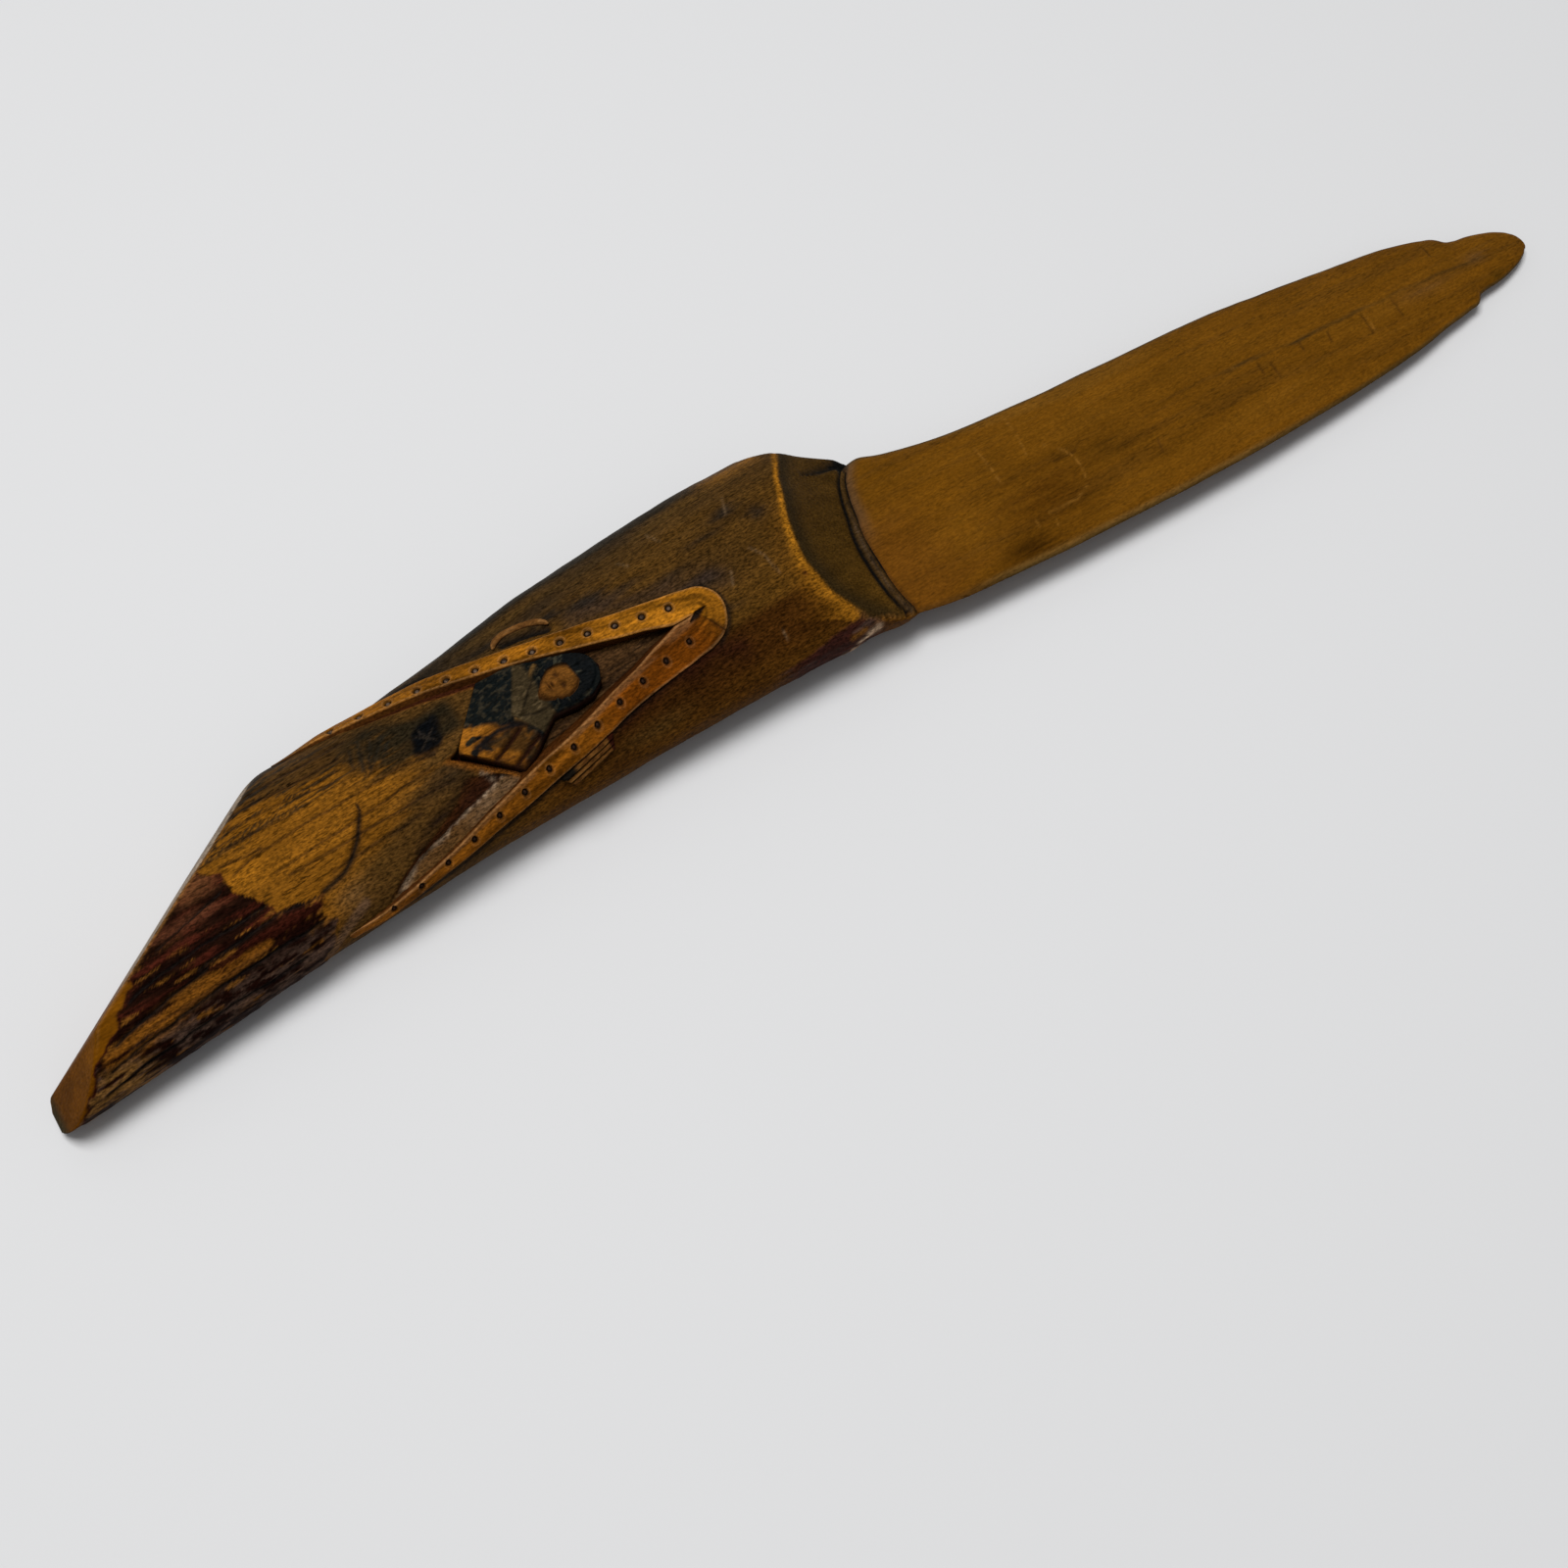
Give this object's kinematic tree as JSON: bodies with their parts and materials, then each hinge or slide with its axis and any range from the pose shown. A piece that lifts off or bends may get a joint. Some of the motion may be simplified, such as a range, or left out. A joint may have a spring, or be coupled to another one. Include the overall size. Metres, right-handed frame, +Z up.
{
  "type": "letter opener",
  "caption": "Hand-carved wooden letter opener: a branch handle with a slanted butt, pinned strips and a small inset figure, and a flat leaf-shaped wooden blade.",
  "frame": {"origin": "centre of the bounding box in plan, on the plane of the flat underside", "axes": "+X from the handle's butt to the blade's tip, +Y to the left of that as seen from above, +Z up from the flat underside"},
  "size_m": [0.2484, 0.0388, 0.017],
  "materials": {
    "handle_wood": "varnished, dark brown with black staining and bark remnants",
    "blade_wood": "varnished honey brown, satin",
    "strip_wood": "varnished orange honey, satin",
    "figure_wood": "stained dark, varnished",
    "hand_wood": "varnished orange brown",
    "pin_metal": "dull, darkened"
  },
  "bodies": {
    "root": {"handle": "handle_wood", "blade": "blade_wood", "upper_strip": "strip_wood", "lower_strip": "strip_wood", "upper_strip_pins": "pin_metal", "lower_strip_pins": "pin_metal", "figure": "figure_wood", "upper_hand": "hand_wood", "lower_hand": "hand_wood"}
  },
  "joints": []
}
